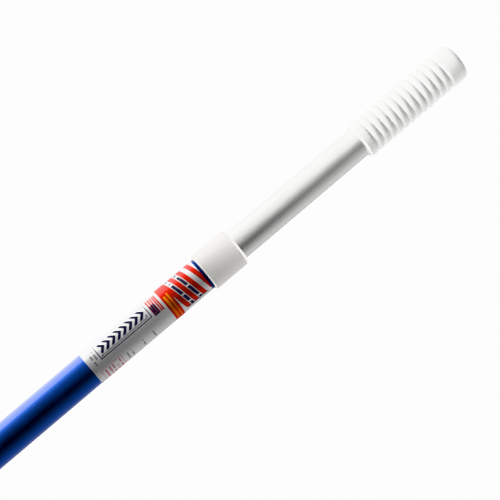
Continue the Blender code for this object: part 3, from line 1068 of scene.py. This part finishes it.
@dataclass
class OuterSection:
    """The blue tube with its button holes, its label and the collar at its mouth."""

    tube_wall: float = 1.4 * MM
    button_hole: float = 3.5 * MM
    button_heights: tuple[float, ...] = (25.4 * MM, 76.2 * MM)
    hole_margin: float = 9.0 * MM
    deburring: float = 0.3 * MM
    hole_easing: float = 0.18 * MM
    label_thickness: float = 0.15 * MM
    label_seam: float = 1.0 * MM
    collar_seat: float = 0.15 * MM
    collar_lip_bore: float = 0.3 * MM
    collar_chamfer: float = 1.7 * MM
    collar_foot: float = 1.8 * MM
    collar_line: tuple[float, float] = (3.1 * MM, 0.16 * MM)

    def build(self, tube: Finish, label: Finish, collar: Finish) -> None:
        """Makes the section's three pieces.

        Args:
            tube: The tube's finish.
            label: The label's.
            collar: The collar's.
        """
        settle(self.tube(), Body.OUTER, ("outer_tube", "outer_tube_tool_end"), tube)
        settle(self.label(), Body.OUTER, ("label",), label)
        settle(self.collar(), Body.OUTER, ("collar",), collar)

    def tube(self) -> Piece:
        """The drawn tube, deburred at both ends, with two button holes through both walls."""
        outside = reach("outer_tube")
        bore = outside - self.tube_wall
        foot, mouth = span("outer_tube_tool_end")[0], span("outer_tube")[1]
        stations = [height + side * self.hole_margin for height in self.button_heights for side in (-1, 1)]
        edge = self.deburring
        corners = [Corner(bore, foot, edge), Corner(outside, foot, edge)]
        corners += [Corner(outside, foot + station) for station in stations]
        corners += [Corner(outside, mouth, edge), Corner(bore, mouth, edge)]
        corners += [Corner(bore, foot + station) for station in reversed(stations)]
        piece = turned("blue_tube", rounded(corners))
        for height in self.button_heights:
            side = Vector((2 * outside, 0, 0))
            middle = Vector((0, 0, foot + height))
            combine(piece, round_bar("button_hole", self.button_hole, middle - side, middle + side))
        rim = partial(self.round_a_hole, foot=foot, bore=bore)
        select_parts(piece, "EDGE", rim)
        bpy.ops.mesh.bevel(offset=self.hole_easing, segments=1, affect="EDGES")
        bpy.ops.object.mode_set(mode="OBJECT")
        return piece

    def on_rim(self, place: Vector, foot: float) -> bool:
        """Whether a point lies on the side of one of the button holes."""
        from_middle = (math.hypot(place.y, place.z - foot - height) for height in self.button_heights)
        return any(abs(distance - self.button_hole) < 0.02 * MM for distance in from_middle)

    def round_a_hole(self, a: Vector, b: Vector, foot: float, bore: float) -> bool:
        """Whether an edge runs round a button hole on one face of the wall, not through the wall."""
        middle = bore + self.tube_wall / 2
        on_one_face = (a.xy.length > middle) == (b.xy.length > middle)
        return on_one_face and self.on_rim(a, foot) and self.on_rim(b, foot)

    def label(self) -> Piece:
        """The film wrapped round the tube, its two ends a hair apart at the back."""
        outside = reach("label")
        inside = outside - self.label_thickness
        low, high = span("label")
        corners = [Corner(inside, low), Corner(outside, low), Corner(outside, high), Corner(inside, high)]
        piece = turned("printed_label", rounded(corners), sides=2 * SIDES)
        size = (self.label_seam, 2 * outside, 2 * (high - low))
        seam = block("seam", size, (0, outside, (low + high) / 2))
        combine(piece, seam)
        return piece

    def collar(self) -> Piece:
        """The moulded collar: seated on the tube, with a chamfered lip close round the inner tube."""
        outside, seat = reach("collar"), reach("outer_tube") + self.collar_seat
        lip = reach("inner_tube") + self.collar_lip_bore
        low, high = span("collar")
        shoulder = span("outer_tube")[1] + self.collar_lip_bore
        chamfer = self.collar_chamfer
        line, depth = self.collar_line
        corners = [
            Corner(seat, low, 0.3 * MM),
            Corner(outside, low, self.collar_foot),
            Corner(outside, low + line - depth),
            Corner(outside - depth, low + line),
            Corner(outside, low + line + depth),
            Corner(outside, high - 1.2 * chamfer, 0.7 * MM),
            Corner(outside - chamfer, high, 0.5 * MM),
            Corner(lip, high, 0.4 * MM),
            Corner(lip, shoulder + 0.4 * MM, 0.2 * MM),
            Corner(seat, shoulder, 0.2 * MM),
        ]
        return turned("mouth_collar", rounded(corners))


@dataclass
class InnerSection:
    """The silver tube, the ribbed grip on its end, and the plug, pins, washer and screw of the lock."""

    tube_wall: float = 1.25 * MM
    deburring: float = 0.3 * MM
    grip_clearance: float = 0.15 * MM
    grip_end_wall: float = 4.0 * MM
    grip_end_round: float = 5.0 * MM
    grip_mouth_round: float = 1.2 * MM
    vent: float = 1.5 * MM
    first_groove: float = 9.5 * MM
    groove_pitch: float = 7.15 * MM
    plain_end: float = 19.0 * MM
    groove_depth: float = 1.2 * MM
    groove_half_width: float = 1.0 * MM
    crown: float = 0.72 * MM
    rings_per_rib: int = 16
    shank_clearance: float = 0.12 * MM
    flange: float = 3.0 * MM
    cam: tuple[float, float] = (9.825 * MM, 9.025 * MM)
    cam_height: float = 18.0 * MM
    pilot: float = 2.15 * MM
    pin: float = 1.5 * MM
    pin_clearance: float = 0.15 * MM
    pin_height: float = 12.0 * MM
    washer_bore: float = 2.15 * MM
    screw_head: float = 2.6 * MM
    screw_shank: float = 2.0 * MM
    thread_depth: float = 0.4 * MM
    thread_pitch: float = 1.4 * MM
    recess: tuple[float, float, float] = (4.4 * MM, 1.0 * MM, 1.3 * MM)

    def build(self, tube: Finish, grip: Finish, plug: Finish, metal: Finish) -> None:
        """Makes the section's pieces.

        Args:
            tube: The tube's finish.
            grip: The grip's.
            plug: The cam plug's.
            metal: The pins', washer's and screw's.
        """
        settle(self.tube(), Body.INNER, ("inner_tube",), tube)
        settle(self.grip(), Body.INNER, ("grip",), grip)
        settle(self.cam_plug(), Body.INNER, ("cam_plug",), plug)
        for node in ("plug_pin_1", "plug_pin_2"):
            settle(self.plug_pin(node), Body.INNER, (node,), metal)
        settle(self.washer(), Body.INNER, ("keeper_washer",), metal)
        settle(self.screw(), Body.INNER, ("keeper_screw",), metal)

    def tube(self) -> Piece:
        """The drawn tube, deburred at both ends, with a hole for each pin."""
        outside = reach("inner_tube")
        bore = outside - self.tube_wall
        low, high = span("inner_tube")
        edge = self.deburring
        stations = (low + self.pin_height - 5 * MM, low + self.pin_height + 5 * MM)
        corners = [Corner(bore, low, edge), Corner(outside, low, edge)]
        corners += [Corner(outside, station) for station in stations]
        corners += [Corner(outside, high, edge), Corner(bore, high, edge)]
        corners += [Corner(bore, station) for station in reversed(stations)]
        piece = turned("silver_tube", rounded(corners))
        self.bore_for_pins(piece, outside)
        return piece

    def bore_for_pins(self, piece: Piece, outside: float) -> None:
        """Drills the hole of each pin into a piece.

        Args:
            piece: The piece.
            outside: The inner tube's radius.
        """
        height = span("inner_tube")[0] + self.pin_height
        for node in ("plug_pin_1", "plug_pin_2"):
            low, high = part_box(node)
            side = 1 if low.x > 0 else -1
            inward = min(abs(low.x), abs(high.x)) - self.pin_clearance
            near, far = Vector((side * inward, 0, height)), Vector((side * 1.3 * outside, 0, height))
            combine(piece, round_bar("pin_hole", self.pin + self.pin_clearance, near, far))

    def ribbed(self, height: float, outside: float, grooves: int) -> float:
        """The grip's radius at a height above its mouth.

        Args:
            height: The height.
            outside: The grip's greatest radius.
            grooves: How many grooves it has.

        Returns:
            The radius.
        """
        count = (height - self.first_groove) / self.groove_pitch
        nearest = min(max(round(count), 0), grooves - 1)
        away = abs(count - nearest) * self.groove_pitch
        half_pitch = self.groove_pitch / 2
        if away >= half_pitch:
            return outside
        if away >= self.groove_half_width:
            climb = (half_pitch - away) / (half_pitch - self.groove_half_width)
            return outside - self.crown * climb**2
        depth = (1 + math.cos(math.pi * away / self.groove_half_width)) / 2
        return outside - self.crown - (self.groove_depth - self.crown) * depth

    def grip(self) -> Piece:
        """The moulded grip: a blind sleeve with ring grooves, a rounded end and a vent in it."""
        outside = reach("grip")
        bore = reach("inner_tube") + self.grip_clearance
        low, high = span("grip")
        length = high - low
        grooves = int((length - self.first_groove - self.plain_end) / self.groove_pitch) + 1
        start = self.first_groove - self.groove_pitch / 2
        steps = grooves * self.rings_per_rib
        heights = [start + self.groove_pitch * step / self.rings_per_rib for step in range(steps + 1)]
        foot = rounded(
            [
                Corner(bore, low, 0.5 * MM),
                Corner(outside, low, self.grip_mouth_round),
                Corner(outside, low + start),
            ]
        )[:-1]
        ribs = [(self.ribbed(height, outside, grooves), low + height) for height in heights[:-1]]
        head = rounded(
            [
                Corner(outside, low + heights[-1]),
                Corner(outside, high, self.grip_end_round),
                Corner(self.vent, high, 0.4 * MM),
                Corner(self.vent, high - self.grip_end_wall),
                Corner(bore, high - self.grip_end_wall, 0.5 * MM),
                Corner(bore, low + start),
            ]
        )
        return turned("ribbed_grip", [*foot, *ribs, *head])

    def cam_plug(self) -> Piece:
        """The plug: a shank in the tube, a flange under its end and an oval cam, bored for the screw."""
        low, high = span("cam_plug")
        shoulder = low + self.cam_height
        long, short = self.cam
        rim = reach("cam_plug")
        shank = reach("inner_tube") - self.tube_wall - self.shank_clearance
        corners = [
            Corner(self.pilot, low, 0.3 * MM),
            Corner(long, low, 0.5 * MM),
            Corner(long, shoulder, 0.25 * MM),
            Corner(rim, shoulder, 0.4 * MM),
            Corner(rim, shoulder + self.flange, 0.3 * MM),
            Corner(shank, shoulder + self.flange, 0.2 * MM),
            Corner(shank, high, 0.8 * MM),
            Corner(self.pilot, high, 0.3 * MM),
        ]
        piece = turned("cam_plug_body", rounded(corners))
        squeeze(piece, short / long, lambda p: p.xy.length > 0.8 * long and p.xy.length < long + 0.3 * MM)
        self.bore_for_pins(piece, reach("inner_tube"))
        return piece

    def plug_pin(self, node: str) -> Piece:
        """A pin with eased ends, where its node lies."""
        low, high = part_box(node)
        height = (low.z + high.z) / 2
        near, far = Vector((low.x, 0, height)), Vector((high.x, 0, height))
        return round_bar(f"{node}_body", self.pin, near, far, 0.2 * MM)

    def washer(self) -> Piece:
        """The keeper washer, its stamped edge rolled over on one side."""
        low, high = span("keeper_washer")
        rim = reach("keeper_washer")
        corners = [
            Corner(self.washer_bore, low, 0.1 * MM),
            Corner(rim, low, 0.4 * MM),
            Corner(rim, high, 0.1 * MM),
            Corner(self.washer_bore, high, 0.1 * MM),
        ]
        return turned("keeper_washer_body", rounded(corners))

    def screw(self) -> Piece:
        """The keeper screw: a cross-recessed pan head, and a shank with thread ridges."""
        low, high = span("keeper_screw")
        head = reach("keeper_screw")
        seat = low + self.screw_head
        root = self.screw_shank - self.thread_depth
        ridges = int((high - seat) / self.thread_pitch) - 1
        corners = [Corner(head * 0.45, low), Corner(head * 0.86, low + 0.25 * MM, 0.8 * MM)]
        corners += [Corner(head, seat - 0.9 * MM, 0.6 * MM), Corner(head, seat, 0.2 * MM)]
        corners.append(Corner(root, seat, 0.15 * MM))
        points = rounded([*corners, Corner(root, high)])[:-1]
        for number in range(ridges):
            foot = seat + (number + 0.5) * self.thread_pitch
            points += [
                (root, foot),
                (self.screw_shank, foot + 0.40 * self.thread_pitch),
                (self.screw_shank, foot + 0.52 * self.thread_pitch),
                (root, foot + 0.80 * self.thread_pitch),
            ]
        points += [(root, high - 0.8 * MM), (0.55 * root, high)]
        piece = turned("keeper_screw_body", points, solid=True, sides=64)
        across, width, depth = self.recess
        for size in ((across, width), (width, across)):
            combine(piece, block("recess", (*size, 2 * depth), (0, 0, low)))
        return piece


@dataclass
class LockRing:
    """The split expander ring round the cam, and the rubber ring in its groove."""

    bore: tuple[float, float] = (9.975 * MM, 9.175 * MM)
    groove_floor: float = 12.525 * MM
    groove_half: float = 1.0 * MM
    slot: float = 3.0 * MM
    cord: float = 0.85 * MM
    easing: float = 0.35 * MM

    def build(self, ring: Finish, rubber: Finish) -> None:
        """Makes both rings.

        Args:
            ring: The split ring's finish.
            rubber: The drag ring's.
        """
        settle(self.split_ring(), Body.RING, ("expander_ring",), ring)
        settle(self.drag_ring(), Body.RING, ("drag_ring",), rubber)

    def split_ring(self) -> Piece:
        """The ring: round outside, oval inside, grooved and slotted at the back."""
        outside = reach("expander_ring")
        low, high = span("expander_ring")
        middle = (low + high) / 2
        long, short = self.bore
        ease = self.easing
        corners = [
            Corner(long, low, ease),
            Corner(outside, low, ease),
            Corner(outside, middle - self.groove_half, 0.2 * MM),
            Corner(self.groove_floor, middle - self.groove_half, 0.3 * MM),
            Corner(self.groove_floor, middle + self.groove_half, 0.3 * MM),
            Corner(outside, middle + self.groove_half, 0.2 * MM),
            Corner(outside, high, ease),
            Corner(long, high, ease),
        ]
        piece = turned("split_ring", rounded(corners))
        squeeze(piece, short / long, lambda p: p.xy.length < long + 1.2 * ease)
        combine(piece, block("slot", (self.slot, 2 * outside, 2 * (high - low)), (0, outside, middle)))
        return piece

    def drag_ring(self) -> Piece:
        """The rubber ring, round in section."""
        low, high = span("drag_ring")
        middle = reach("drag_ring") - self.cord
        height = (low + high) / 2
        steps = 20
        angles = [2 * math.pi * step / steps for step in range(steps)]
        points = [(middle + self.cord * math.cos(a), height + self.cord * math.sin(a)) for a in angles]
        return turned("rubber_ring", points)


# ---------------------------------------------------------------------------------------------------------
# Studio
# ---------------------------------------------------------------------------------------------------------


@dataclass(frozen=True)
class Ring:
    """The room's light between two elevations, as angles from the front, in degrees, and the light there."""

    start: float
    until: float
    stops: tuple[tuple[float, float], ...]


@dataclass
class Studio:
    """A white room: light from the left, a dark gap ahead on the right, a pale floor and three lamps."""

    camera_place: tuple[float, float, float] = (0.0105, -1.6305, 1.0484)
    camera_pitch: float = 6.5
    camera_roll: float = 49.7
    camera_lens: float = 135.9
    sensor: float = 36.0
    backdrop: float = 4.0
    brightest: float = 8.0
    rings: tuple[Ring, ...] = (
        Ring(-90.0, -40.0, (
            (-180, 1.8), (-130, 2.2), (-80, 2.2), (-45, 0.55), (0, 0.1), (45, 0.25), (90, 3.0),
            (140, 4.5), (180, 1.8),
        )),
        Ring(-14.0, 1.5, (
            (-180, 1.2), (-150, 2.6), (-130, 6.5), (-84, 6.5), (-72, 2.0), (-52, 0.9), (-38, 0.5),
            (-25, 0.26), (-10, 0.07), (8, 0.0), (26, 0.0), (45, 0.07), (60, 0.2), (75, 0.36),
            (95, 0.54), (122, 0.64), (160, 0.7), (180, 1.2),
        )),
        Ring(7.0, 8.0, (
            (-180, 1.1), (-120, 1.3), (-75, 1.35), (-40, 1.2), (-14, 0.98), (0, 0.66), (14, 0.4),
            (28, 0.21), (43, 0.2), (58, 0.36), (75, 0.52), (94, 0.68), (117, 0.76), (150, 0.7),
            (180, 1.1),
        )),
        Ring(11.5, 15.0, (
            (-180, 1.3), (-120, 1.9), (-75, 2.2), (-40, 1.6), (-14, 1.15), (0, 0.8), (14, 0.62),
            (28, 0.52), (43, 0.52), (58, 0.56), (75, 0.6), (94, 0.72), (117, 0.78), (150, 0.75),
            (180, 1.3),
        )),
        Ring(23.0, 90.0, (
            (-180, 1.6), (-130, 1.2), (-90, 1.2), (-45, 0.35), (0, 0.06), (45, 0.1), (90, 1.4),
            (140, 3.0), (180, 1.6),
        )),
    )
    floor_radius: float = 14.0
    floor_fades_from: float = 7.0

    def build(self) -> None:
        """Sets up the camera, the room's light, the lamps and the floor."""
        self.camera()
        self.room()
        self.lamp("grip_lamp_left", (-0.45, -0.30, 0.88), (0.0, 0.0, 1.49), 0.25, 0.45, 34.0)
        self.lamp("grip_lamp_right", (0.34, -0.42, 0.92), (0.0, 0.0, 1.49), 0.25, 0.12, 34.0)
        lip_lamp = self.lamp("lip_lamp", (0.006, -0.037, 1.345), (0.002, -0.0175, 1.2267), 0.03, 0.03, 70.0)
        lip_lamp.visible_camera = lip_lamp.visible_glossy = False
        self.floor()

    def camera(self) -> None:
        """The camera, looking slightly up at the pole and rolled so that the pole slants across its view."""
        data = bpy.data.cameras.new("camera")
        data.lens = self.camera_lens
        data.sensor_width = self.sensor
        data.clip_start, data.clip_end = 0.01, 100.0
        camera = bpy.data.objects.new("camera", data)
        bpy.context.scene.collection.objects.link(camera)
        tilt = Matrix.Rotation(math.radians(90 + self.camera_pitch), 4, "X")
        roll = Matrix.Rotation(math.radians(self.camera_roll), 4, "Z")
        camera.matrix_world = Matrix.Translation(self.camera_place) @ tilt @ roll
        bpy.context.scene.camera = camera

    def ring_of_light(self, tree: Tree, turn: Signal, stops: Iterable[tuple[float, float]]) -> Socket:
        """The light round the room at one elevation.

        Args:
            tree: The world's tree.
            turn: The way round, from 0 behind to 1 behind again.
            stops: Angles round from the front, in degrees, and the light there.

        Returns:
            The light.
        """
        ramp = tree.add("ShaderNodeValToRGB")
        tree.feed(ramp.inputs["Fac"], turn)
        elements = ramp.color_ramp.elements
        while len(elements) > 1:
            elements.remove(elements[0])
        for number, (angle, light) in enumerate(stops):
            place = (angle + 180) / 360
            element = elements.new(place) if number else elements[0]
            element.position = place
            element.color = (*(light / self.brightest,) * 3, 1.0)
        return tree.times(ramp.outputs["Color"], self.brightest)

    def room(self) -> None:
        """The world: the room's light, and a white backdrop."""
        world = bpy.data.worlds.new("room")
        world.use_nodes = True
        world.node_tree.nodes.clear()
        tree = Tree(world.node_tree)
        x, y, z = tree.axes(tree.add("ShaderNodeTexCoord").outputs["Generated"])
        angle = tree.math("ARCTAN2", x, tree.times(y, -1.0))
        turn = tree.line(angle, 1 / (2 * math.pi), 0.5)
        elevation = tree.math("DEGREES", tree.math("ARCSINE", z))
        light = self.ring_of_light(tree, turn, self.rings[0].stops)
        for below, ring in zip(self.rings, self.rings[1:]):
            rise = tree.ramp(elevation, below.until, ring.start)
            light = tree.mix(rise, light, self.ring_of_light(tree, turn, ring.stops))
        room = tree.add("ShaderNodeBackground")
        tree.feed(room.inputs["Color"], light)
        backdrop = tree.add("ShaderNodeBackground")
        backdrop.inputs["Strength"].default_value = self.backdrop
        seen = tree.add("ShaderNodeMixShader")
        tree.feed(seen.inputs[0], tree.add("ShaderNodeLightPath").outputs["Is Camera Ray"])
        tree.feed(seen.inputs[1], room.outputs[0])
        tree.feed(seen.inputs[2], backdrop.outputs[0])
        backdrop.inputs["Color"].default_value = (1.0, 1.0, 1.0, 1.0)
        tree.feed(tree.add("ShaderNodeOutputWorld").inputs["Surface"], seen.outputs[0])
        bpy.context.scene.world = world

    def lamp(
        self, name: str, place: Triple, aim: Triple, size: float, power: float, spread: float
    ) -> Piece:
        """A square soft lamp.

        Args:
            name: Its name.
            place: Where it hangs.
            aim: What it points at.
            size: Its side, in metres.
            power: Its power, in watts.
            spread: How wide its beam is, in degrees.

        Returns:
            The lamp.
        """
        data = bpy.data.lights.new(name, "AREA")
        data.energy, data.size, data.spread = power, size, math.radians(spread)
        lamp = bpy.data.objects.new(name, data)
        bpy.context.scene.collection.objects.link(lamp)
        lamp.location = place
        lamp.rotation_euler = (Vector(aim) - Vector(place)).to_track_quat("-Z", "Y").to_euler()
        return lamp

    def floor(self) -> None:
        """A pale matt floor that fades into the backdrop far away and is clear from below."""
        start_clean()
        bpy.ops.mesh.primitive_circle_add(vertices=96, radius=self.floor_radius, fill_type="NGON")
        floor = bpy.context.object
        floor.name = "floor"
        material = bpy.data.materials.new("floor_paint")
        material.use_nodes = True
        tree = Tree(material.node_tree)
        shader = material.node_tree.nodes["Principled BSDF"]
        place = tree.place()
        speckle = tree.noise(place, 40.0, 3.0)
        tree.feed(shader.inputs["Base Color"], tree.mix(speckle, (0.84, 0.84, 0.84), (0.88, 0.88, 0.88)))
        shader.inputs["Roughness"].default_value = 0.6
        far = tree.add("ShaderNodeVectorMath", operation="LENGTH")
        tree.feed(far.inputs[0], place)
        fading = tree.ramp(far.outputs["Value"], self.floor_fades_from, 0.95 * self.floor_radius)
        fading = tree.most(fading, tree.add("ShaderNodeNewGeometry").outputs["Backfacing"])
        blend = tree.add("ShaderNodeMixShader")
        tree.feed(blend.inputs[0], fading)
        tree.feed(blend.inputs[1], shader.outputs[0])
        tree.feed(blend.inputs[2], tree.add("ShaderNodeBsdfTransparent").outputs[0])
        tree.feed(material.node_tree.nodes["Material Output"].inputs["Surface"], blend.outputs[0])
        floor.data.materials.append(material)
        floor.visible_glossy = False
        floor.visible_diffuse = False


# Each moulded finish: colour, flow-mark shade and the colour of dirt specks and painted hollow shade, then
# roughness, grain, its depth and any share of that dirt and painted shade
MOULDINGS = {
    "white_plastic": (
        *((0.765, 0.755, 0.73), (0.715, 0.70, 0.67), (0.42, 0.39, 0.33)),
        *(0.34, 700.0, 0.008 * MM),
    ),
    "white_vinyl": (
        *((0.86, 0.86, 0.85), (0.81, 0.81, 0.795), (0.40, 0.385, 0.36)),
        *(0.48, 1100.0, 0.008 * MM, 0.15),
    ),
    "grey_nylon": (
        *((0.30, 0.31, 0.33), (0.25, 0.26, 0.28), (0.08, 0.08, 0.08)),
        *(0.46, 900.0, 0.012 * MM),
    ),
    "natural_nylon": (
        *((0.76, 0.73, 0.64), (0.69, 0.65, 0.55), (0.30, 0.26, 0.20)),
        *(0.42, 800.0, 0.01 * MM),
    ),
    "black_rubber": (
        *((0.022, 0.022, 0.022), (0.035, 0.034, 0.033), (0.16, 0.15, 0.14)),
        *(0.62, 1400.0, 0.015 * MM),
    ),
}


def main() -> None:
    """Builds the studio and the pole, section by section."""
    logging.basicConfig(level=logging.INFO, format="%(name)s: %(message)s")
    scene = bpy.context.scene
    scene.view_settings.view_transform = "Khronos PBR Neutral"
    scene.view_settings.look = "None"
    effects = Effects()
    Studio().build()
    blue = DrawnAluminium(
        "blue_anodised",
        effects,
        dye=(0.0012, 0.075, 0.43),
        dye_deep=(0.0008, 0.055, 0.37),
        # The band of painted collar shadow, from the label's top to the collar's foot
        painted_collar_shadow_span=(span("label")[1], span("collar")[0]),
    )
    silver = DrawnAluminium(
        "satin_aluminium",
        effects,
        dye=(0.84, 0.84, 0.83),
        dye_deep=(0.76, 0.76, 0.745),
        gloss=0.0,
        scuffing=0.7,
    )
    film = PrintedFilm("printed_film", effects, foot=span("label")[0], radius=reach("label"))
    white, vinyl, grey, natural, rubber = (Moulded(slot, effects, *look) for slot, look in MOULDINGS.items())
    steel = PlatedSteel("plated_steel", effects)
    OuterSection().build(blue, film, white)
    LockRing().build(natural, rubber)
    InnerSection().build(silver, vinyl, grey, steel)


if __name__ == "__main__":
    main()
